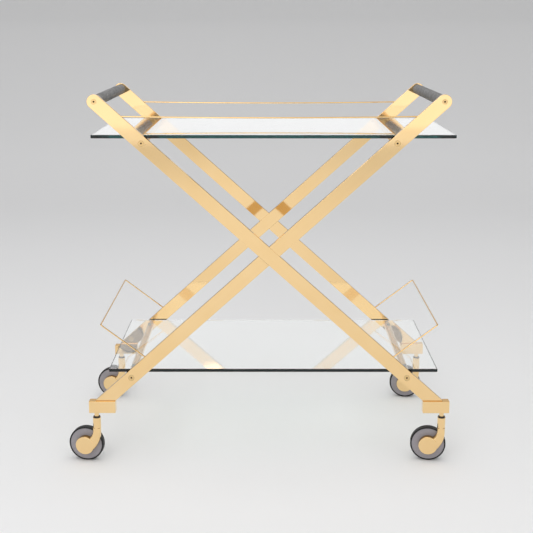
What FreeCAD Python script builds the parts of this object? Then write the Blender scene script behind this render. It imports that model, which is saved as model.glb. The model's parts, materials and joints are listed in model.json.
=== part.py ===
"""Bar cart: crossed flat-bar frames, two glass shelves, guard wires, wrapped handles and swivel casters.

Frame of the model, in millimetres:
  X runs along the cart's length, Y from the front to the back, Z up.
  Z = 0 is the floor. X = 0 and Y = 0 are the middle of the whole cart as it stands,
  with all four casters trailing towards -X.
Every piece is drawn about the middle of the two frames, and save() moves it to the cart's middle.
"""
import FreeCAD, Part
import math
import os

from FreeCAD import Placement, Rotation, Vector

os.makedirs("parts", exist_ok=True)

# ---------------------------------------------------------------- driving dimensions (mm)

# The crossed frames
frame_centre_x = 26.0        # the casters trail to -X, so the frames stand this far to the other side
frame_centre_y = -9.0        # the wheels reach further back than the blocks reach forward
frame_spacing = 424.0        # middle of the front frame to middle of the rear frame
crossing_height = 518.0      # floor to the middle of the X
handle_height = 880.0        # floor to the handles' axis
handle_spacing = 800.0       # between the two handles' axes
bar_width = 33.0
bar_thickness = 10.0
bar_edge_round = 0.7

# Cross tubes under the shelves
tube_diameter = 18.0
tube_wall = 2.5
upper_tube_reach = 294.6     # frame centre to the upper tubes' axes, along X
lower_tube_reach = 332.0     # frame centre to the lower tubes' axes, along X
plug_length = 22.0

# Glass shelves
glass_thickness = 8.0
glass_side_gap = 4.0         # shelf edge to the inner face of a frame
glass_edge_round = 1.0
upper_shelf_length = 845.0
lower_shelf_length = 795.0
shelf_shift_x = 10.0         # the loose plates lie a little to the right of the frames' middle
pad_thickness = 1.0          # between a tube's top line and the glass
pad_length = 14.0
pad_width = 9.0
pad_inset = 34.0             # pad's middle to the shelf's long edge

# Handles
grip_diameter = 27.0
core_diameter = 21.0

# Screws with a round head let into the bars' outer faces
tube_screw_head = 14.0
handle_screw_head = 12.0
screw_head_depth = 3.5
screw_head_gap = 0.25        # ring gap round a head
screw_shank = 6.0
screw_reach = 16.0           # how far the shank goes beyond the bar
screw_socket_across = 4.0
screw_socket_depth = 2.6

# Guard wires
wire_diameter = 3.2
wire_seat_depth = 7.0        # how far a wire's end is let into a bar's edge
wire_hole_gap = 0.05
guard_drop = 34.0            # handles' axis down to the ends of the upper guard wires
guard_sag = 3.0
bail_foot_rise = 34.0        # lower glass up to the place where a bail's arm leaves the bar
bail_corner_rise = 79.5      # that place up to the bail's far run
bail_corner_reach = 103.3    # and out to it, along X
bail_bend_radius = 4.0

# Caster blocks under the bars
block_length = 64.0
block_depth = 20.0
block_height = 29.5
block_top = 159.0
block_edge_round = 0.8

# Casters, one-armed, with the wheel behind the arm
caster_turn_deg = -8.0       # how far each caster is turned from straight along X
stem_inset = 16.6            # block's outer end to a caster's swivel axis, along X
caster_trail = 30.5          # swivel axis to wheel axle
wheel_diameter = 86.0
wheel_width = 15.0
tyre_thickness = 3.6
tyre_round = 1.4
stem_diameter = 19.0
stem_top = 115.5
stem_bottom = 85.0
stem_end_chamfer = 1.5
washer_diameter = 16.5
washer_thickness = 3.0
bush_diameter = 11.0
bush_depth_in_block = 20.0
swivel_pin_diameter = 7.0
swivel_pin_end_gap = 1.5     # pin's top to the end of the bush
boss_radius = 22.8
arm_thickness = 11.5
arm_step = 0.35              # the arm is this much slimmer than the stem on each side
arm_overlap = 4.0            # how far the arm reaches up into the stem
arm_edge_round = 5.0
arm_outer_straight = 8.0     # the arm's outer edge runs straight down this far below the stem
arm_outer_bow = (5.6, 8.0)   # its curve passes this far inside the stem's side and above the axle
arm_outer_foot_deg = -56.0   # and meets the boss at this angle
arm_inner_bow = (2.7, 28.0)  # the inner edge passes this far outside the stem's side and above the axle
arm_inner_foot_deg = 62.0
arm_foot_inset = 1.5         # both edges end this far inside the boss's rim
boss_edge_round = 1.2
axle_diameter = 8.0
axle_head_diameter = 17.0
axle_head_thickness = 2.5
axle_press_depth = 8.0
wheel_recess = 0.9           # grey face set back from the tyre's side
wheel_hub_radius = 14.0

# Clearances
running_gap = 0.08           # radial, pin or axle in its hole
face_gap = 0.2               # between flat faces that turn on each other
wheel_side_gap = 1.5         # arm to wheel
wrap_gap = 0.05              # wrap round its core

# ---------------------------------------------------------------- derived values

half_spacing = handle_spacing / 2.0
handle_rise = handle_height - crossing_height
bar_slope = handle_rise / half_spacing
bar_angle = math.atan2(handle_rise, half_spacing)
bar_cos = math.cos(bar_angle)
bar_sin = math.sin(bar_angle)
half_chord = bar_width / 2.0 / bar_sin
front_y = -frame_spacing / 2.0
rear_y = frame_spacing / 2.0
inner_face = frame_spacing / 2.0 - bar_thickness / 2.0
tube_radius = tube_diameter / 2.0
upper_tube_height = crossing_height + bar_slope * upper_tube_reach
lower_tube_height = crossing_height - bar_slope * lower_tube_reach
shelf_half_depth = inner_face - glass_side_gap
upper_shelf_bottom = upper_tube_height + tube_radius + pad_thickness
lower_shelf_bottom = lower_tube_height + tube_radius + pad_thickness
guard_height = handle_height - guard_drop
bail_foot_height = lower_shelf_bottom + glass_thickness + bail_foot_rise
block_inner_end = (crossing_height - block_top) / bar_slope - half_chord
stem_reach = block_inner_end + block_length - stem_inset
wheel_radius = wheel_diameter / 2.0
axle_height = wheel_radius
washer_top = stem_top + washer_thickness
bush_bottom = washer_top + face_gap
block_bottom = block_top - block_height
bush_top = block_bottom + bush_depth_in_block
arm_front = -stem_diameter / 2.0
arm_back = arm_front + arm_thickness
wheel_front = arm_back + wheel_side_gap
wheel_back = wheel_front + wheel_width
wheel_core_radius = wheel_radius - tyre_thickness

SIDES = {"left": -1.0, "right": 1.0}
ENDS = {"front": -1.0, "rear": 1.0}
ALONG_Y = Vector(0, 1, 0)
ALONG_Z = Vector(0, 0, 1)

# ---------------------------------------------------------------- helpers


def save(shape, node):
    """Move one node to its place in the cart and write it."""
    if not shape.isValid():
        raise ValueError("invalid shape: " + node)
    placed = shape.copy()
    placed.translate(Vector(frame_centre_x, frame_centre_y, 0))
    placed.exportStep("parts/" + node + ".step")
    print(node, "solids", len(shape.Solids), "volume cm3", round(shape.Volume / 1000.0, 2))


def rod_y(radius, x, z, y_from, y_to):
    """Round rod along Y."""
    return Part.makeCylinder(radius, y_to - y_from, Vector(x, y_from, z), ALONG_Y)


def rod_z(radius, x, y, z_from, z_to):
    """Round rod along Z."""
    return Part.makeCylinder(radius, z_to - z_from, Vector(x, y, z_from), ALONG_Z)


def box_between(low, high):
    """Box between two corners."""
    size = high - low
    return Part.makeBox(size.x, size.y, size.z, low)


def plate_xz(points_and_arcs, y_from, y_to):
    """Extrude a closed outline drawn in the XZ plane between two Y values."""
    face = Part.Face(Part.Wire(points_and_arcs))
    face.translate(Vector(0, y_from, 0))
    return face.extrude(Vector(0, y_to - y_from, 0))


def line(a, b):
    """Straight outline piece between two (x, z) points."""
    return Part.LineSegment(Vector(a[0], 0, a[1]), Vector(b[0], 0, b[1])).toShape()


def arc(a, middle, b):
    """Arc outline piece through three (x, z) points."""
    return Part.Arc(Vector(a[0], 0, a[1]), Vector(middle[0], 0, middle[1]), Vector(b[0], 0, b[1])).toShape()


def edges_at_y(shape, *levels):
    """Edges that lie wholly in one of the planes Y = level."""
    found = []
    for edge in shape.Edges:
        box = edge.BoundBox
        for level in levels:
            if abs(box.YMin - level) < 1e-4 and abs(box.YMax - level) < 1e-4:
                found.append(edge)
    return found


def mirrored_x(shape):
    """Mirror image across the frames' middle plane."""
    return shape.mirror(Vector(0, 0, 0), Vector(1, 0, 0))


# ---------------------------------------------------------------- crossed frames


def bar_outline(side, grow=0.0):
    """Outline of one bar: a long strip with its top end rounded about the handle axis.

    side is -1 when the top end is on the left and +1 when it is on the right.
    """
    half = bar_width / 2.0 + grow
    top = Vector(side * half_spacing, 0, handle_height)
    along = Vector(side * bar_cos, 0, bar_sin)
    across = Vector(-side * bar_sin, 0, bar_cos)
    length = (handle_height - block_top) / bar_sin + 2.0 * bar_width
    foot = top - along * length
    corners = [foot + across * half, top + across * half, top - across * half, foot - across * half]
    tip = top + along * half
    flat = [(corner.x, corner.z) for corner in corners]
    return [
        line(flat[0], flat[1]),
        arc(flat[1], (tip.x, tip.z), flat[2]),
        line(flat[2], flat[3]),
        line(flat[3], flat[0]),
    ]


def bar_strip(side, y_middle):
    """One bar before its joint and holes are cut, with its long edges eased."""
    y_from = y_middle - bar_thickness / 2.0
    y_to = y_middle + bar_thickness / 2.0
    strip = plate_xz(bar_outline(side), y_from, y_to)
    strip = strip.makeFillet(bar_edge_round, edges_at_y(strip, y_from, y_to))
    foot = box_between(Vector(-1200, y_from - 1, -900), Vector(1200, y_to + 1, block_top))
    return strip.cut(foot)


def screw_cut(x, z, y_outer, inward, head_diameter):
    """Counterbore and shank hole for one screw let into a bar's outer face."""
    head_radius = head_diameter / 2.0 + screw_head_gap
    depth_level = y_outer + inward * screw_head_depth
    bar_level = y_outer + inward * (bar_thickness + 1.0)
    outside = y_outer - inward * 1.0
    head = rod_y(head_radius, x, z, min(outside, depth_level), max(outside, depth_level))
    shank = rod_y(screw_shank / 2.0, x, z, min(depth_level, bar_level), max(depth_level, bar_level))
    return head.fuse(shank)


def tube_places():
    """Name, X and Z of the four cross tubes."""
    places = []
    for name, side in SIDES.items():
        places.append(("upper_" + name, side * upper_tube_reach, upper_tube_height))
        places.append(("lower_" + name, side * lower_tube_reach, lower_tube_height))
    return places


def handle_places():
    """Name, X and Z of the two handles."""
    return [(name, side * half_spacing, handle_height) for name, side in SIDES.items()]


def guard_path(y):
    """Centre line of an upper guard wire: one shallow arc from bar to bar."""
    reach = (guard_height - crossing_height) / bar_slope - half_chord + wire_seat_depth
    left = Vector(-reach, y, guard_height)
    middle = Vector(0, y, guard_height - guard_sag)
    right = Vector(reach, y, guard_height)
    return Part.Wire([Part.Arc(left, middle, right).toShape()])


def bail_path():
    """Centre line of the left lower bail: up an arm, across the cart, down the other arm."""
    foot_x = (bail_foot_height - crossing_height) / bar_slope - half_chord
    foot = Vector(foot_x, front_y, bail_foot_height)
    corner = foot + Vector(-bail_corner_reach, 0, bail_corner_rise)
    arm_way = (corner - foot).normalize()
    start = foot - arm_way * wire_seat_depth
    bend_in = corner - arm_way * bail_bend_radius
    bend_out = corner + ALONG_Y * bail_bend_radius
    bend_mid_way = (ALONG_Y - arm_way).normalize()
    bend_mid = corner + bend_mid_way * bail_bend_radius * (math.sqrt(2.0) - 1.0)
    depth = Vector(0, frame_spacing, 0)

    def rear(point):
        return Vector(point.x, -point.y, point.z)

    pieces = [
        Part.LineSegment(start, bend_in),
        Part.Arc(bend_in, bend_mid, bend_out),
        Part.LineSegment(bend_out, rear(bend_out)),
        Part.Arc(rear(bend_out), rear(bend_mid), rear(bend_in)),
        Part.LineSegment(rear(bend_in), start + depth),
    ]
    return Part.Wire([piece.toShape() for piece in pieces])


def wire_along(path, radius):
    """Round wire of the given radius along a path."""
    first = path.Edges[0]
    start = first.valueAt(first.FirstParameter)
    way = first.tangentAt(first.FirstParameter)
    section = Part.Wire([Part.Circle(start, way, radius).toShape()])
    return path.makePipeShell([section], True, False)


wire_radius = wire_diameter / 2.0
hole_radius = wire_radius + wire_hole_gap
guard_wires = {name: wire_along(guard_path(end * rear_y), wire_radius) for name, end in ENDS.items()}
guard_holes = {name: wire_along(guard_path(end * rear_y), hole_radius) for name, end in ENDS.items()}
left_bail = wire_along(bail_path(), wire_radius)
left_bail_hole = wire_along(bail_path(), hole_radius)
bail_holes = [left_bail_hole, mirrored_x(left_bail_hole)]

for end_name, end in ENDS.items():
    y_middle = end * rear_y
    y_outer = y_middle + end * bar_thickness / 2.0
    cuts = [guard_holes[end_name]] + bail_holes
    for name, x, z in tube_places():
        cuts.append(screw_cut(x, z, y_outer, -end, tube_screw_head))
    for name, x, z in handle_places():
        cuts.append(screw_cut(x, z, y_outer, -end, handle_screw_head))
    for bar_name, side, keeps_outer_half in (("falling", -1.0, True), ("rising", 1.0, False)):
        bar = bar_strip(side, y_middle)
        removed_to = y_middle - end * bar_thickness if keeps_outer_half else y_middle + end * bar_thickness
        bar = bar.cut(plate_xz(bar_outline(-side), min(y_middle, removed_to), max(y_middle, removed_to)))
        for cut in cuts:
            bar = bar.cut(cut)
        save(bar, end_name + "_bar_" + bar_name)

# ---------------------------------------------------------------- cross tubes, plugs and screws

plugs = []
for name, x, z in tube_places():
    tube = rod_y(tube_radius, x, z, -inner_face, inner_face)
    tube = tube.cut(rod_y(tube_radius - tube_wall, x, z, -inner_face - 1, inner_face + 1))
    save(tube, "cross_tube_" + name)
    for end in ENDS.values():
        outer = end * inner_face
        inner = end * (inner_face - plug_length)
        plug = rod_y(tube_radius - tube_wall, x, z, min(outer, inner), max(outer, inner))
        plugs.append(plug.cut(rod_y(screw_shank / 2.0, x, z, min(outer, inner) - 1, max(outer, inner) + 1)))
save(Part.makeCompound(plugs), "tube_plugs")


def screw(x, z, end, head_diameter):
    """One screw: a flat round head flush with the bar, with a hexagon socket, and a plain shank."""
    outer = end * (inner_face + bar_thickness)
    under_head = outer - end * screw_head_depth
    tip = end * (inner_face - screw_reach)
    head = rod_y(head_diameter / 2.0, x, z, min(outer, under_head), max(outer, under_head))
    shank = rod_y(screw_shank / 2.0, x, z, min(under_head, tip), max(under_head, tip))
    corner_radius = screw_socket_across / 2.0 / math.cos(math.radians(30.0))
    corners = []
    for step in range(7):
        angle = math.radians(60.0 * step)
        corners.append((x + corner_radius * math.cos(angle), z + corner_radius * math.sin(angle)))
    sides = [line(corners[step], corners[step + 1]) for step in range(6)]
    floor = outer - end * screw_socket_depth
    mouth = outer + end * 1.0
    socket = plate_xz(sides, min(floor, mouth), max(floor, mouth))
    return head.fuse(shank).removeSplitter().cut(socket)


tube_screws = []
for name, x, z in tube_places():
    for end in ENDS.values():
        tube_screws.append(screw(x, z, end, tube_screw_head))
save(Part.makeCompound(tube_screws), "tube_screws")

handle_screws = []
for name, x, z in handle_places():
    for end in ENDS.values():
        handle_screws.append(screw(x, z, end, handle_screw_head))
save(Part.makeCompound(handle_screws), "handle_screws")

# ---------------------------------------------------------------- handles

for name, x, z in handle_places():
    core = rod_y(core_diameter / 2.0, x, z, -inner_face, inner_face)
    for end in ENDS.values():
        outer = end * inner_face
        tip = end * (inner_face - screw_reach)
        core = core.cut(rod_y(screw_shank / 2.0, x, z, min(outer, tip), max(outer, tip)))
    save(core, "handle_core_" + name)
    wrap = rod_y(grip_diameter / 2.0, x, z, -inner_face, inner_face)
    wrap = wrap.cut(rod_y(core_diameter / 2.0 + wrap_gap, x, z, -inner_face - 1, inner_face + 1))
    save(wrap, "handle_grip_" + name)

# ---------------------------------------------------------------- shelves and their pads


def shelf(length, bottom):
    """One glass plate with eased edges."""
    low = Vector(shelf_shift_x - length / 2.0, -shelf_half_depth, bottom)
    high = Vector(shelf_shift_x + length / 2.0, shelf_half_depth, bottom + glass_thickness)
    plate = box_between(low, high)
    return plate.makeChamfer(glass_edge_round, plate.Edges)


def shelf_pads(reach, tube_height):
    """Four clear pads, each saddled on a tube and flat under the glass."""
    pads = []
    top = tube_height + tube_radius + pad_thickness
    for side in SIDES.values():
        x = side * reach
        for end in ENDS.values():
            y = end * (shelf_half_depth - pad_inset)
            low = Vector(x - pad_width / 2.0, y - pad_length / 2.0, tube_height)
            high = Vector(x + pad_width / 2.0, y + pad_length / 2.0, top)
            tube = rod_y(tube_radius, x, tube_height, y - pad_length, y + pad_length)
            pads.append(box_between(low, high).cut(tube))
    return Part.makeCompound(pads)


save(shelf(upper_shelf_length, upper_shelf_bottom), "shelf_glass_upper")
save(shelf(lower_shelf_length, lower_shelf_bottom), "shelf_glass_lower")
save(shelf_pads(upper_tube_reach, upper_tube_height), "shelf_pads_upper")
save(shelf_pads(lower_tube_reach, lower_tube_height), "shelf_pads_lower")

# ---------------------------------------------------------------- guard wires

for end_name in ENDS:
    save(guard_wires[end_name], "guard_wire_" + end_name)
save(left_bail, "guard_bail_left")
save(mirrored_x(left_bail), "guard_bail_right")

# ---------------------------------------------------------------- caster blocks


def caster_block(side, y_middle):
    """Block under a bar's foot, bored from below for the swivel bush."""
    x_inner = side * block_inner_end
    x_outer = side * (block_inner_end + block_length)
    low = Vector(min(x_inner, x_outer), y_middle - block_depth / 2.0, block_bottom)
    high = Vector(max(x_inner, x_outer), y_middle + block_depth / 2.0, block_top)
    block = box_between(low, high)
    block = block.makeFillet(block_edge_round, block.Edges)
    return block.cut(rod_z(bush_diameter / 2.0, side * stem_reach, y_middle, block_bottom - 1, bush_top))


# ---------------------------------------------------------------- casters
# Each caster is drawn about its own swivel axis, trailing to -X, and then turned and moved.


def swivel_bush():
    """Bush pressed into the block; the fork's pin turns in it."""
    bush = rod_z(bush_diameter / 2.0, 0, 0, bush_bottom, bush_top)
    bore = swivel_pin_diameter / 2.0 + running_gap
    return bush.cut(rod_z(bore, 0, 0, bush_bottom - 1, bush_top - face_gap))


def thrust_washer():
    """Dark washer on top of the stem."""
    washer = rod_z(washer_diameter / 2.0, 0, 0, stem_top, washer_top)
    return washer.cut(rod_z(swivel_pin_diameter / 2.0, 0, 0, stem_top - 1, washer_top + 1))


def caster_fork():
    """Round stem that flows into one arm with a rounded front, and a round boss in front of the wheel."""
    hub_x = -caster_trail
    half_width = stem_diameter / 2.0 - arm_step
    front = arm_front + arm_step
    arm_top = stem_bottom + arm_overlap

    def on_boss(radius, degrees):
        angle = math.radians(degrees)
        return (hub_x + radius * math.cos(angle), axle_height + radius * math.sin(angle))

    outer_top = (half_width, arm_top)
    outer_start = (half_width, stem_bottom - arm_outer_straight)
    outer_middle = (half_width - arm_outer_bow[0], axle_height + arm_outer_bow[1])
    outer_end = on_boss(boss_radius - arm_foot_inset, arm_outer_foot_deg)
    inner_end = on_boss(boss_radius - arm_foot_inset, arm_inner_foot_deg)
    inner_middle = (-half_width - arm_inner_bow[0], axle_height + arm_inner_bow[1])
    inner_start = (-half_width, stem_bottom)
    inner_top = (-half_width, arm_top)
    outline = [
        line(outer_top, outer_start),
        arc(outer_start, outer_middle, outer_end),
        line(outer_end, inner_end),
        arc(inner_end, inner_middle, inner_start),
        line(inner_start, inner_top),
        line(inner_top, outer_top),
    ]
    arm = plate_xz(outline, front, arm_back)
    rounded = []
    for edge in edges_at_y(arm, front):
        ends = sorted(vertex.Z for vertex in edge.Vertexes)
        is_top = abs(ends[0] - arm_top) < 1e-3
        is_foot = abs(ends[0] - outer_end[1]) < 1e-3 and abs(ends[1] - inner_end[1]) < 1e-3
        if not is_top and not is_foot:
            rounded.append(edge)
    arm = arm.makeFillet(arm_edge_round, rounded)
    boss = rod_y(boss_radius, hub_x, axle_height, arm_front, arm_back)
    boss = boss.makeFillet(boss_edge_round, edges_at_y(boss, arm_front))
    stem = rod_z(stem_diameter / 2.0, 0, 0, stem_bottom, stem_top)
    lower_rim = [edge for edge in stem.Edges if edge.BoundBox.ZMax < stem_bottom + 1e-3]
    stem = stem.makeChamfer(stem_end_chamfer, lower_rim)
    pin = rod_z(swivel_pin_diameter / 2.0, 0, 0, stem_top - 5, bush_top - swivel_pin_end_gap)
    fork = stem.fuse(pin).fuse(arm).fuse(boss)
    return fork.cut(rod_y(axle_diameter / 2.0, hub_x, axle_height, arm_back - axle_press_depth, arm_back + 1))


def caster_axle():
    """Axle pressed into the boss, with a flat head behind the wheel."""
    hub_x = -caster_trail
    head_from = wheel_back + face_gap
    shank = rod_y(axle_diameter / 2.0, hub_x, axle_height, arm_back - axle_press_depth, head_from)
    head = rod_y(axle_head_diameter / 2.0, hub_x, axle_height, head_from, head_from + axle_head_thickness)
    return shank.fuse(head).removeSplitter()


def caster_wheel():
    """Wheel body with a raised hub round the axle hole."""
    hub_x = -caster_trail
    body = rod_y(wheel_core_radius, hub_x, axle_height, wheel_front + wheel_recess, wheel_back - wheel_recess)
    hub = rod_y(wheel_hub_radius, hub_x, axle_height, wheel_front + face_gap, wheel_back)
    bore = rod_y(axle_diameter / 2.0 + running_gap, hub_x, axle_height, wheel_front - 1, wheel_back + 1)
    return body.fuse(hub).removeSplitter().cut(bore)


def caster_tyre():
    """Thin tyre with rounded shoulders."""
    hub_x = -caster_trail
    outer = rod_y(wheel_radius, hub_x, axle_height, wheel_front, wheel_back)
    outer = outer.makeFillet(tyre_round, edges_at_y(outer, wheel_front, wheel_back))
    return outer.cut(rod_y(wheel_core_radius, hub_x, axle_height, wheel_front - 1, wheel_back + 1))


caster_pieces = {
    "swivel_bush": swivel_bush(),
    "thrust_washer": thrust_washer(),
    "caster_fork": caster_fork(),
    "caster_axle": caster_axle(),
    "caster_wheel": caster_wheel(),
    "caster_tyre": caster_tyre(),
}

for end_name, end in ENDS.items():
    for side_name, side in SIDES.items():
        corner_name = "_" + end_name + "_" + side_name
        y_middle = end * rear_y
        save(caster_block(side, y_middle), "caster_block" + corner_name)
        place = Placement(
            Vector(side * stem_reach, y_middle, 0),
            Rotation(ALONG_Z, caster_turn_deg),
        )
        for piece_name, shape in caster_pieces.items():
            placed = shape.copy()
            placed.Placement = place.multiply(placed.Placement)
            save(placed, piece_name + corner_name)
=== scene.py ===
# %% [markdown]
# # A brass and glass bar cart
#
# The cart is two flat-bar X frames joined by four round tubes. Two loose glass plates lie on the tubes,
# thin wires keep bottles from sliding off, and each foot stands on a brass block with a swivel caster.
# Everything rigid comes from the CAD frame. This script gives those pieces their surfaces, builds the
# covered handles, and sets up the studio.

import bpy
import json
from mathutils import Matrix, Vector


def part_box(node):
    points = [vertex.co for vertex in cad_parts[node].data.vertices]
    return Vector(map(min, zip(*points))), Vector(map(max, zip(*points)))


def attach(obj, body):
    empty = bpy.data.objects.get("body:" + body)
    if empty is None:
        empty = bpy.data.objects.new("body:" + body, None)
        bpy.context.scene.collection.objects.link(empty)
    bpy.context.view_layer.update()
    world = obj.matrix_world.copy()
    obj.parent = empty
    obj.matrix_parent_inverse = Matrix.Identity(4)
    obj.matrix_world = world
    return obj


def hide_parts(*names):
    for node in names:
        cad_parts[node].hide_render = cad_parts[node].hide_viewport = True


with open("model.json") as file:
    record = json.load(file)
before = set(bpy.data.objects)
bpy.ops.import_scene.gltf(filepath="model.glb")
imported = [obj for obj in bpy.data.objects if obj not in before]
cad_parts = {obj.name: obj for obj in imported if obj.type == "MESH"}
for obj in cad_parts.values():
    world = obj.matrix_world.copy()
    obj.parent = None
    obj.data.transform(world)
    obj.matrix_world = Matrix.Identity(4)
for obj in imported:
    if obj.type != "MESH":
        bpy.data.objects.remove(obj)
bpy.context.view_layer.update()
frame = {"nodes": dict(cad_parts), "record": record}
print("CAD pieces:", len(frame["nodes"]))

import json
import math

import bpy
from mathutils import Vector

# %% [markdown]
# ## Small helpers for shader trees
#
# A material is a graph: texture nodes make patterns, maths nodes shape them, and one Principled shader
# turns the results into light. The same three steps (make a node, set its plain values, join it up)
# repeat in every material, so they are kept in short functions.

# %% Shader tree helpers
def add_node(tree, kind, values=None, **settings):
    """Make one node; values fill input sockets by name or number, settings are node properties."""
    node = tree.nodes.new(kind)
    for name, setting in settings.items():
        setattr(node, name, setting)
    for socket, value in (values or {}).items():
        node.inputs[socket].default_value = value
    return node


def join(tree, source, target):
    """Link an output socket to an input socket."""
    tree.links.new(source, target)


def new_group(name, inputs, outputs):
    """An empty shader node group with float inputs (name, default) and float outputs."""
    group = bpy.data.node_groups.new(name, "ShaderNodeTree")
    for socket_name, default in inputs:
        socket = group.interface.new_socket(socket_name, in_out="INPUT", socket_type="NodeSocketFloat")
        socket.default_value = default
    for socket_name in outputs:
        group.interface.new_socket(socket_name, in_out="OUTPUT", socket_type="NodeSocketFloat")
    entry = group.nodes.new("NodeGroupInput")
    leave = group.nodes.new("NodeGroupOutput")
    return group, entry, leave


def use_group(tree, group, **inputs):
    """Place a group in a material and set its inputs."""
    node = tree.nodes.new("ShaderNodeGroup")
    node.node_tree = group
    for name, value in inputs.items():
        node.inputs[name].default_value = value
    return node


def new_material(name, **plain):
    """A material with one Principled shader; plain values go straight on its sockets."""
    material = bpy.data.materials.new(name)
    material.use_nodes = True
    tree = material.node_tree
    tree.nodes.clear()
    shader = tree.nodes.new("ShaderNodeBsdfPrincipled")
    output = tree.nodes.new("ShaderNodeOutputMaterial")
    join(tree, shader.outputs["BSDF"], output.inputs["Surface"])
    for socket, value in plain.items():
        shader.inputs[socket.replace("_", " ")].default_value = value
    return material, tree, shader


def tint_between(tree, shader, factor, dark, light):
    """Base colour that varies between two tints."""
    mix = add_node(tree, "ShaderNodeMix", data_type="RGBA")
    mix.inputs["A"].default_value = (*dark, 1.0)
    mix.inputs["B"].default_value = (*light, 1.0)
    join(tree, factor, mix.inputs["Factor"])
    join(tree, mix.outputs["Result"], shader.inputs["Base Color"])
    return mix.outputs["Result"]


def spread(tree, factor, socket, low, high):
    """Stretch a 0 to 1 pattern between two values and feed it to a socket."""
    ramp = add_node(tree, "ShaderNodeMapRange", {"To Min": low, "To Max": high})
    join(tree, factor, ramp.inputs["Value"])
    join(tree, ramp.outputs["Result"], socket)


def bump(tree, shader, height, strength, distance):
    """Raise or sink the surface's shading by a height pattern."""
    node = add_node(tree, "ShaderNodeBump", {"Strength": strength, "Distance": distance})
    join(tree, height, node.inputs["Height"])
    join(tree, node.outputs["Normal"], shader.inputs["Normal"])


# %% [markdown]
# ## Shared surface effects
#
# **Polishing marks.** Buffed metal is never perfectly even: the wheel leaves hair-fine streaks, and hands
# leave faint smears. One group makes both, so bars, blocks, screws and steel can share it at other scales.
#
# **Fine grain.** Rubber, moulded plastic and the handle covering all have a small cellular grain. A cell
# pattern gives the pebbles and a softer noise keeps them from looking regular.

# %% Polishing marks, as a group
def make_polish_group():
    """Smears in Tone, and fine streaks mixed with them in Marks."""
    group, entry, leave = new_group("polish_marks", [("Size", 1.0)], ["Tone", "Marks"])
    place = add_node(group, "ShaderNodeTexCoord")
    scaled = add_node(group, "ShaderNodeVectorMath", operation="SCALE")
    join(group, place.outputs["Object"], scaled.inputs[0])
    join(group, entry.outputs["Size"], scaled.inputs["Scale"])
    smear = add_node(group, "ShaderNodeTexNoise", {"Scale": 9.0, "Detail": 4.0, "Roughness": 0.55})
    join(group, scaled.outputs["Vector"], smear.inputs["Vector"])
    turned = add_node(group, "ShaderNodeMapping", {"Rotation": (0.4, 0.7, 0.3)})
    turned.inputs["Scale"].default_value = (30.0, 900.0, 900.0)
    join(group, scaled.outputs["Vector"], turned.inputs["Vector"])
    streak = add_node(group, "ShaderNodeTexNoise", {"Scale": 1.0, "Detail": 2.0})
    join(group, turned.outputs["Vector"], streak.inputs["Vector"])
    mixed = add_node(group, "ShaderNodeMath", {1: 0.35}, operation="MULTIPLY")
    join(group, streak.outputs["Fac"], mixed.inputs[0])
    total = add_node(group, "ShaderNodeMath", operation="ADD", use_clamp=True)
    softened = add_node(group, "ShaderNodeMath", {1: 0.65}, operation="MULTIPLY")
    join(group, smear.outputs["Fac"], softened.inputs[0])
    join(group, mixed.outputs["Value"], total.inputs[0])
    join(group, softened.outputs["Value"], total.inputs[1])
    join(group, smear.outputs["Fac"], leave.inputs["Tone"])
    join(group, total.outputs["Value"], leave.inputs["Marks"])
    return group


polish_marks = make_polish_group()
print("polish_marks group:", len(polish_marks.nodes), "nodes")


# %% Fine grain, as a group
def make_grain_group():
    """Pebbled cells in Height, and an uneven version of them in Mask."""
    group, entry, leave = new_group("fine_grain", [("Cells", 500.0)], ["Height", "Mask"])
    place = add_node(group, "ShaderNodeTexCoord")
    cells = add_node(group, "ShaderNodeTexVoronoi", feature="SMOOTH_F1")
    join(group, place.outputs["Object"], cells.inputs["Vector"])
    join(group, entry.outputs["Cells"], cells.inputs["Scale"])
    cloud = add_node(group, "ShaderNodeTexNoise", {"Scale": 60.0, "Detail": 5.0, "Roughness": 0.6})
    join(group, place.outputs["Object"], cloud.inputs["Vector"])
    pebble = add_node(group, "ShaderNodeMath", {0: 1.0}, operation="SUBTRACT", use_clamp=True)
    join(group, cells.outputs["Distance"], pebble.inputs[1])
    mask = add_node(group, "ShaderNodeMath", operation="MULTIPLY", use_clamp=True)
    join(group, pebble.outputs["Value"], mask.inputs[0])
    join(group, cloud.outputs["Fac"], mask.inputs[1])
    join(group, pebble.outputs["Value"], leave.inputs["Height"])
    join(group, mask.outputs["Value"], leave.inputs["Mask"])
    return group


fine_grain = make_grain_group()
print("fine_grain group:", len(fine_grain.nodes), "nodes")

# %% [markdown]
# ## Metals
#
# The brass is polished to a mirror, so almost all of its look is reflection: full metallic, low roughness,
# and a pale gold tint that deepens a little where the polish is duller. The streaks change roughness far
# more than colour, which is how real buffing marks show up: only in the highlights.
#
# What a polished face that looks up mirrors is dim in a real room and bright in this studio. Such faces are
# painted a deeper brown here. It is a tint fixed to the object, so it doesn't move as a reflection would.

# %% Brass and steel
UP_STARTS = 0.25
UP_FULL = 0.60
UP_STRENGTH = 0.85


def deepen_upward(tree, shader, colour, deep):
    """Blend a deeper colour over the faces that look up."""
    surface = add_node(tree, "ShaderNodeNewGeometry")
    parts = add_node(tree, "ShaderNodeSeparateXYZ")
    join(tree, surface.outputs["Normal"], parts.inputs["Vector"])
    lean = {"From Min": UP_STARTS, "From Max": UP_FULL, "To Max": UP_STRENGTH}
    mask = add_node(tree, "ShaderNodeMapRange", lean)
    join(tree, parts.outputs["Z"], mask.inputs["Value"])
    mix = add_node(tree, "ShaderNodeMix", data_type="RGBA")
    mix.inputs["B"].default_value = (*deep, 1.0)
    join(tree, mask.outputs["Result"], mix.inputs["Factor"])
    join(tree, colour, mix.inputs["A"])
    join(tree, mix.outputs["Result"], shader.inputs["Base Color"])


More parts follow.
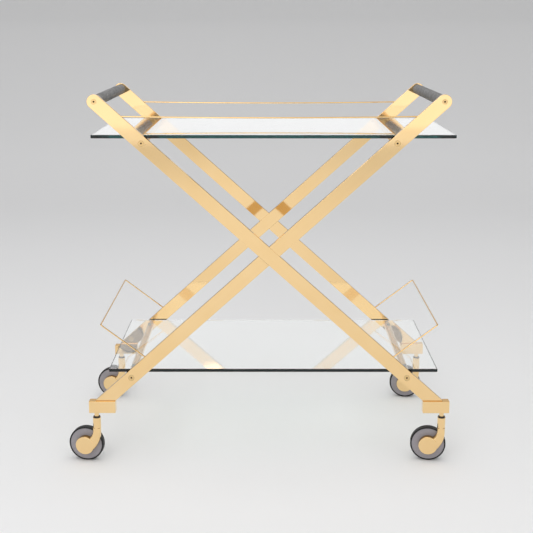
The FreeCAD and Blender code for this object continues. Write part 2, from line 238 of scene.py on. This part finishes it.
def make_metal(name, dark, light, rough_low, rough_high, size, relief, deep=None):
    """Polished metal whose tint and roughness follow the polishing marks."""
    material, tree, shader = new_material(name, Metallic=1.0)
    marks = use_group(tree, polish_marks, Size=size)
    colour = tint_between(tree, shader, marks.outputs["Tone"], dark, light)
    if deep:
        deepen_upward(tree, shader, colour, deep)
    spread(tree, marks.outputs["Marks"], shader.inputs["Roughness"], rough_low, rough_high)
    bump(tree, shader, marks.outputs["Marks"], relief, 0.0004)
    return material


materials = {
    "polished_brass": make_metal(
        "polished_brass", (0.93, 0.64, 0.30), (0.99, 0.73, 0.40), 0.015, 0.075, 1.0, 0.02, (0.46, 0.25, 0.05)
    ),
    "turned_steel": make_metal(
        "turned_steel", (0.42, 0.42, 0.41), (0.62, 0.61, 0.60), 0.18, 0.42, 2.0, 0.10
    ),
}

# %% [markdown]
# The screws are the same brass with coarser turning marks. Everything sunk below the heads' outer faces,
# that is the hexagon sockets, gets painted shade: a near-black tint, with a duller finish as well. The
# depth is measured from the screws' own box, front and rear alike.

# %% Screw brass
SOCKET_DEPTH = 0.0026


def make_screw_brass():
    """Turned brass with painted shade, and a duller finish, inside the sockets."""
    material, tree, shader = new_material("screw_brass", Metallic=1.0)
    low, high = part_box("tube_screws")
    place = add_node(tree, "ShaderNodeTexCoord")
    parts = add_node(tree, "ShaderNodeSeparateXYZ")
    join(tree, place.outputs["Object"], parts.inputs["Vector"])
    centred = add_node(tree, "ShaderNodeMath", {1: (low.y + high.y) / 2.0}, operation="SUBTRACT")
    join(tree, parts.outputs["Y"], centred.inputs[0])
    outward = add_node(tree, "ShaderNodeMath", operation="ABSOLUTE")
    join(tree, centred.outputs["Value"], outward.inputs[0])
    face = (high.y - low.y) / 2.0
    sunk = face - 0.5 * SOCKET_DEPTH
    flush = face - 0.1 * SOCKET_DEPTH
    # Painted shade mask: 0 down in the sockets and 1 on the heads' faces; it also sets the duller finish
    # there.
    polished = add_node(tree, "ShaderNodeMapRange", {"From Min": sunk, "From Max": flush})
    join(tree, outward.outputs["Value"], polished.inputs["Value"])
    marks = use_group(tree, polish_marks, Size=3.0)
    socket_shade_and_tone = add_node(tree, "ShaderNodeMath", operation="MULTIPLY")
    join(tree, polished.outputs["Result"], socket_shade_and_tone.inputs[0])
    uneven = add_node(tree, "ShaderNodeMapRange", {"To Min": 0.7, "To Max": 1.0})
    join(tree, marks.outputs["Tone"], uneven.inputs["Value"])
    join(tree, uneven.outputs["Result"], socket_shade_and_tone.inputs[1])
    # The near-black tint inside the sockets is painted shade.
    tint_between(tree, shader, socket_shade_and_tone.outputs["Value"], (0.035, 0.020, 0.008), (0.93, 0.65, 0.31))
    spread(tree, socket_shade_and_tone.outputs["Value"], shader.inputs["Roughness"], 0.55, 0.10)
    bump(tree, shader, marks.outputs["Marks"], 0.06, 0.0004)
    return material


materials["screw_brass"] = make_screw_brass()
print("metals:", ", ".join(sorted(materials)))

# %% [markdown]
# ## Glass
#
# Float glass is almost clear through its faces but deep green along its edges, because light that leaves
# an edge has travelled a long way inside the plate. Tracing that absorption would need many bounces, so
# the edge faces (those that don't face up or down) get a dark green tint instead. A trace of wiping
# smears is kept in the roughness. Real plates let nearly all lamp light through to the floor, so shadow
# rays meet a clear surface instead of a dark one.

# %% Shelf glass and clear pads
def make_glass():
    """Clear plate with dark green edges."""
    material, tree, shader = new_material("clear_glass", Metallic=0.0, IOR=1.52, Transmission_Weight=1.0)
    surface = add_node(tree, "ShaderNodeNewGeometry")
    parts = add_node(tree, "ShaderNodeSeparateXYZ")
    join(tree, surface.outputs["Normal"], parts.inputs["Vector"])
    upright = add_node(tree, "ShaderNodeMath", operation="ABSOLUTE")
    join(tree, parts.outputs["Z"], upright.inputs[0])
    face_mask = add_node(tree, "ShaderNodeMapRange", {"From Min": 0.35, "From Max": 0.85})
    join(tree, upright.outputs["Value"], face_mask.inputs["Value"])
    tint_between(tree, shader, face_mask.outputs["Result"], (0.002, 0.105, 0.100), (0.980, 0.995, 0.989))
    marks = use_group(tree, polish_marks, Size=0.6)
    spread(tree, marks.outputs["Tone"], shader.inputs["Roughness"], 0.0, 0.012)
    ray = add_node(tree, "ShaderNodeLightPath")
    clear = add_node(tree, "ShaderNodeBsdfTransparent", {"Color": (0.93, 0.96, 0.95, 1.0)})
    pick = add_node(tree, "ShaderNodeMixShader")
    output = tree.nodes["Material Output"]
    join(tree, ray.outputs["Is Shadow Ray"], pick.inputs[0])
    join(tree, shader.outputs["BSDF"], pick.inputs[1])
    join(tree, clear.outputs["BSDF"], pick.inputs[2])
    join(tree, pick.outputs["Shader"], output.inputs["Surface"])
    return material


def make_clear_pad():
    """Clear silicone with a faint haze."""
    material, tree, shader = new_material("clear_pad", Metallic=0.0, IOR=1.41, Transmission_Weight=0.85)
    grain = use_group(tree, fine_grain, Cells=900.0)
    tint_between(tree, shader, grain.outputs["Mask"], (0.78, 0.80, 0.79), (0.92, 0.93, 0.92))
    spread(tree, grain.outputs["Mask"], shader.inputs["Roughness"], 0.12, 0.30)
    return material


materials["clear_glass"] = make_glass()
materials["clear_pad"] = make_clear_pad()
print("clear materials:", materials["clear_glass"].name, "and", materials["clear_pad"].name)

# %% [markdown]
# ## Rubber, plastic and the handle covering
#
# The tyres are smooth black rubber, the wheel bodies are satin grey plastic, and the handles are covered
# in a dark grey, finely pebbled skin. All three are the same recipe with other numbers: grain for the
# height, and its mask for small changes of tint and gloss.

# %% Grained materials
def make_grained(name, dark, light, rough_low, rough_high, cells, relief):
    """Non-metal with a pebbled grain."""
    material, tree, shader = new_material(name, Metallic=0.0)
    grain = use_group(tree, fine_grain, Cells=cells)
    tint_between(tree, shader, grain.outputs["Mask"], dark, light)
    spread(tree, grain.outputs["Mask"], shader.inputs["Roughness"], rough_high, rough_low)
    bump(tree, shader, grain.outputs["Height"], relief, 0.0006)
    return material


materials["grip_wrap"] = make_grained(
    "grip_wrap", (0.055, 0.053, 0.052), (0.40, 0.395, 0.39), 0.36, 0.66, 330.0, 0.85
)
materials["black_tyre"] = make_grained(
    "black_tyre", (0.002, 0.002, 0.002), (0.009, 0.009, 0.010), 0.40, 0.62, 700.0, 0.20
)
materials["black_washer"] = make_grained(
    "black_washer", (0.010, 0.008, 0.006), (0.035, 0.030, 0.024), 0.40, 0.60, 900.0, 0.15
)
materials["grey_wheel"] = make_grained(
    "grey_wheel", (0.26, 0.245, 0.265), (0.37, 0.35, 0.375), 0.30, 0.46, 800.0, 0.12
)
thread_material = make_grained(
    "grip_thread", (0.05, 0.048, 0.046), (0.15, 0.145, 0.14), 0.50, 0.75, 1500.0, 0.50
)

print("grained materials use", fine_grain.users, "copies of the grain group")

# %% [markdown]
# ## Finish every CAD piece
#
# The record says which finish each piece has, so one loop paints them all.

# %% Paint the CAD pieces
for part in frame["record"]["subparts"]:
    piece = frame["nodes"][part["node"]]
    piece.data.materials.clear()
    piece.data.materials.append(materials[part["material_slot"]])

# %% [markdown]
# ## Covered handles
#
# Each handle is a round core between two bar ends, with a skin drawn tightly round it and sewn along its
# underside. In CAD it is a plain tube. Here the tube is rebuilt as a turned skin: the ends roll in to the
# core, the surface swells and thins by tenths of a millimetre, and a shallow groove runs along the bottom
# where the two edges meet. Building it ring by ring keeps every vertex inside the CAD tube's box.

# %% Build the handle skins
GROOVE_DEPTH = 0.0009
GROOVE_HALF_ANGLE = math.radians(9.0)
ROLL = 0.0016
ROLL_STEPS = 6
WAVE_HEIGHT = 0.00012
RING_COUNT = 130
SEGMENT_COUNT = 72


def mesh_object(name, vertices, faces, material):
    """A smooth-shaded mesh object with one material."""
    mesh = bpy.data.meshes.new(name)
    mesh.from_pydata(vertices, [], faces)
    mesh.polygons.foreach_set("use_smooth", [True] * len(mesh.polygons))
    mesh.materials.append(material)
    mesh.update()
    made = bpy.data.objects.new(name, mesh)
    bpy.context.scene.collection.objects.link(made)
    return made


def skin_radius(outer, along, length, angle):
    """Radius of the skin at a distance along the handle and an angle up from straight down."""
    waviness = WAVE_HEIGHT * (math.sin(41.0 * along) + math.sin(97.0 * along + 2.0 * angle) - 2.0)
    from_end = min(along, length - along)
    rolled = max(0.0, 1.0 - from_end / ROLL)
    roll_in = ROLL * (1.0 - math.sqrt(max(0.0, 1.0 - rolled * rolled)))
    off_seam = min(abs(angle), 2.0 * math.pi - abs(angle))
    groove = GROOVE_DEPTH * max(0.0, 1.0 - off_seam / GROOVE_HALF_ANGLE) ** 2
    return outer + waviness - roll_in - groove


def build_skin(name, node):
    """The skin over one handle, as a closed tube of rings along Y."""
    low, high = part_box(node)
    centre = (low + high) / 2.0
    outer = (high.x - low.x) / 2.0
    length = high.y - low.y
    steps = [ROLL * t / ROLL_STEPS for t in range(ROLL_STEPS)]
    inner_count = RING_COUNT - 2 * ROLL_STEPS
    middle = [ROLL + (length - 2.0 * ROLL) * t / (inner_count - 1) for t in range(inner_count)]
    stations = steps + middle + [length - step for step in reversed(steps)]
    vertices = []
    for along in stations:
        for segment in range(SEGMENT_COUNT):
            angle = 2.0 * math.pi * segment / SEGMENT_COUNT
            radius = skin_radius(outer, along, length, angle)
            x = centre.x + radius * math.sin(angle)
            z = centre.z - radius * math.cos(angle)
            vertices.append((x, low.y + along, z))
    faces = []
    for ring in range(len(stations) - 1):
        for segment in range(SEGMENT_COUNT):
            following = (segment + 1) % SEGMENT_COUNT
            a = ring * SEGMENT_COUNT + segment
            b = ring * SEGMENT_COUNT + following
            faces.append((a, b, b + SEGMENT_COUNT, a + SEGMENT_COUNT))
    last = (len(stations) - 1) * SEGMENT_COUNT
    faces.append(tuple(reversed(range(SEGMENT_COUNT))))
    faces.append(tuple(last + segment for segment in range(SEGMENT_COUNT)))
    return mesh_object(name, vertices, faces, materials["grip_wrap"])


# %% [markdown]
# The seam is closed with short slanted stitches. Each stitch is a small six-sided spindle, and all the
# stitches of one handle are one piece.

# %% Build the stitches
STITCH_PITCH = 0.0062
STITCH_HALF_LENGTH = 0.0021
STITCH_RADIUS = 0.00035
STITCH_SINK = 0.0002
STITCH_SLANT = 0.0008
STITCH_LIFT = 0.0003
STITCH_RINGS = 5
STITCH_SIDES = 6


def build_stitches(name, node):
    """A row of slanted stitches along the underside of one handle."""
    low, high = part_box(node)
    centre_x = (low.x + high.x) / 2.0
    outer = (high.x - low.x) / 2.0
    thread_z = (low.z + high.z) / 2.0 - outer + STITCH_RADIUS + STITCH_SINK
    count = int((high.y - low.y) / STITCH_PITCH) - 1
    vertices = []
    faces = []
    for stitch in range(count):
        middle = low.y + STITCH_PITCH * (stitch + 1)
        first = len(vertices)
        for step in range(STITCH_RINGS):
            t = step / (STITCH_RINGS - 1.0) * 2.0 - 1.0
            thick = STITCH_RADIUS * math.sqrt(max(0.08, 1.0 - t * t))
            lift = STITCH_LIFT * t * t
            for side in range(STITCH_SIDES):
                angle = 2.0 * math.pi / STITCH_SIDES * side
                x = centre_x + STITCH_SLANT * t + thick * math.cos(angle)
                z = thread_z + lift + thick * math.sin(angle)
                vertices.append((x, middle + STITCH_HALF_LENGTH * t, z))
        for step in range(STITCH_RINGS - 1):
            for side in range(STITCH_SIDES):
                a = first + step * STITCH_SIDES + side
                b = first + step * STITCH_SIDES + (side + 1) % STITCH_SIDES
                faces.append((a, b, b + STITCH_SIDES, a + STITCH_SIDES))
        end = first + (STITCH_RINGS - 1) * STITCH_SIDES
        faces.append(tuple(first + side for side in reversed(range(STITCH_SIDES))))
        faces.append(tuple(end + side for side in range(STITCH_SIDES)))
    return mesh_object(name, vertices, faces, thread_material)


for side in ("left", "right"):
    node = "handle_grip_" + side
    skin = build_skin("grip_skin_" + side, node)
    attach(skin, "cart_frame")
    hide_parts(node)
    stitches = build_stitches("grip_stitches_" + side, node)
    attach(stitches, "cart_frame")
    print(side, "handle: skin", len(skin.data.vertices), "vertices, stitches", len(stitches.data.vertices))

# %% [markdown]
# ## Studio
#
# The cart stands on a pale sheet that sweeps up behind it, so there is no line between floor and wall.
# Mirror-polished metal shows whatever is around it, so the surroundings matter as much as the lights. A
# bright floor and a tall card in front make the bars pale gold from foot to top. The glass is met at a low
# angle, so what it shows is the wall behind: a bright strip there lights the upper plate, and a softer box
# above the strip lights the lower one. The sheet's grey darkens with distance: painted shade for the light
# falling off.

# %% Sweep, camera and lights
SWEEP_HALF_WIDTH = 9.0
SWEEP_FRONT = -8.0
SWEEP_BEND_START = 3.2
SWEEP_BEND_RADIUS = 2.4
SWEEP_HEIGHT = 7.0
SWEEP_BEND_STEPS = 24
# The paper's grey falls from 0.83 near to 0.66 far: painted shade for light that falls off with distance.
PAPER_NEAR = 0.0
PAPER_FAR = 5.6
PAPER_FALLOFF_GREYS = [(0.0, 0.83), (0.375, 0.83), (0.74, 0.78), (1.0, 0.66)]

profile = [(SWEEP_FRONT, 0.0), (SWEEP_BEND_START, 0.0)]
for step in range(1, SWEEP_BEND_STEPS + 1):
    angle = math.pi / 2.0 * step / SWEEP_BEND_STEPS
    y = SWEEP_BEND_START + SWEEP_BEND_RADIUS * math.sin(angle)
    z = SWEEP_BEND_RADIUS * (1.0 - math.cos(angle))
    profile.append((y, z))
profile.append((SWEEP_BEND_START + SWEEP_BEND_RADIUS, SWEEP_HEIGHT))
sweep_vertices = []
for y, z in profile:
    sweep_vertices.append((-SWEEP_HALF_WIDTH, y, z))
    sweep_vertices.append((SWEEP_HALF_WIDTH, y, z))
sweep_faces = [(2 * i, 2 * i + 1, 2 * i + 3, 2 * i + 2) for i in range(len(profile) - 1)]

paper, paper_tree, paper_shader = new_material("studio_paper", Metallic=0.0, Roughness=0.9)
paper_marks = use_group(paper_tree, polish_marks, Size=0.2)
paper_place = add_node(paper_tree, "ShaderNodeTexCoord")
paper_parts = add_node(paper_tree, "ShaderNodeSeparateXYZ")
join(paper_tree, paper_place.outputs["Object"], paper_parts.inputs["Vector"])
paper_depth = add_node(paper_tree, "ShaderNodeMapRange", {"From Min": PAPER_NEAR, "From Max": PAPER_FAR})
join(paper_tree, paper_parts.outputs["Y"], paper_depth.inputs["Value"])
paper_tone_and_falloff = add_node(paper_tree, "ShaderNodeMath", {1: 0.02}, operation="MULTIPLY_ADD")
join(paper_tree, paper_marks.outputs["Tone"], paper_tone_and_falloff.inputs[0])
join(paper_tree, paper_depth.outputs["Result"], paper_tone_and_falloff.inputs[2])
# This ramp turns depth into painted shade; only the faint marks are the paper's own tone.
paper_shade_ramp = add_node(paper_tree, "ShaderNodeValToRGB")
paper_stops = paper_shade_ramp.color_ramp.elements
for place, grey in PAPER_FALLOFF_GREYS[1:-1]:
    paper_stops.new(place)
for stop, (place, grey) in zip(paper_stops, PAPER_FALLOFF_GREYS):
    stop.color = (grey, grey, grey, 1.0)
join(paper_tree, paper_tone_and_falloff.outputs["Value"], paper_shade_ramp.inputs["Fac"])
join(paper_tree, paper_shade_ramp.outputs["Color"], paper_shader.inputs["Base Color"])
sweep = mesh_object("studio_sweep", sweep_vertices, sweep_faces, paper)

CAMERA_PLACE = Vector((0.0229, -2.511, 1.060))
CAMERA_DOWN_DEG = 11.62
CAMERA_TURN_DEG = 0.08
camera_data = bpy.data.cameras.new("camera")
camera_data.lens = 67.5
camera_data.sensor_width = 36.0
camera_data.shift_y = -0.075
camera = bpy.data.objects.new("camera", camera_data)
camera.location = CAMERA_PLACE
camera.rotation_euler = (math.radians(90.0 - CAMERA_DOWN_DEG), 0.0, math.radians(CAMERA_TURN_DEG))
bpy.context.scene.collection.objects.link(camera)
bpy.context.scene.camera = camera


def add_softbox(name, place, aim, size, power):
    """A rectangular area light aimed at a point."""
    light = bpy.data.lights.new(name, "AREA")
    light.shape = "RECTANGLE"
    light.size = size[0]
    light.size_y = size[1]
    light.energy = power
    lamp = bpy.data.objects.new(name, light)
    lamp.location = place
    lamp.rotation_euler = (Vector(aim) - Vector(place)).to_track_quat("-Z", "Y").to_euler()
    bpy.context.scene.collection.objects.link(lamp)


# Name, place, point aimed at, width and height, watts.
SOFTBOXES = [
    ("top_softbox", (0.0, -0.8, 3.8), (0.0, -0.4, 0.0), (4.0, 3.0), 55.0),
    ("back_strip", (0.0, 5.2, 1.42), (0.0, 0.0, 1.42), (9.0, 0.38), 6.0),
    ("back_softbox", (0.0, 5.2, 2.56), (0.0, 0.0, 2.56), (9.0, 1.9), 25.0),
    ("front_floor_light", (-1.2, -3.8, 2.8), (0.0, -1.6, 0.0), (2.6, 1.8), 40.0),
    ("front_card", (0.0, -6.6, 1.3), (0.0, 0.0, 0.6), (11.0, 3.0), 51.0),
]
for name, place, aim, size, power in SOFTBOXES:
    add_softbox(name, place, aim, size, power)

world = bpy.data.worlds.new("studio_world")
bpy.context.scene.world = world
world.use_nodes = True
world_tree = world.node_tree
world_tree.nodes.clear()
direction = add_node(world_tree, "ShaderNodeTexCoord")
direction_parts = add_node(world_tree, "ShaderNodeSeparateXYZ")
join(world_tree, direction.outputs["Generated"], direction_parts.inputs["Vector"])
height_range = add_node(world_tree, "ShaderNodeMapRange", {"From Min": -0.1, "From Max": 0.9})
join(world_tree, direction_parts.outputs["Z"], height_range.inputs["Value"])
sky = add_node(world_tree, "ShaderNodeValToRGB")
sky.color_ramp.elements[0].color = (0.80, 0.80, 0.80, 1.0)
sky.color_ramp.elements[1].color = (0.55, 0.55, 0.56, 1.0)
join(world_tree, height_range.outputs["Result"], sky.inputs["Fac"])
background = add_node(world_tree, "ShaderNodeBackground", {"Strength": 0.95})
join(world_tree, sky.outputs["Color"], background.inputs["Color"])
world_output = add_node(world_tree, "ShaderNodeOutputWorld")
join(world_tree, background.outputs["Background"], world_output.inputs["Surface"])
bpy.context.scene.view_settings.view_transform = "Standard"
print("studio: sweep", len(sweep_faces), "strips, camera at", tuple(round(v, 3) for v in CAMERA_PLACE))
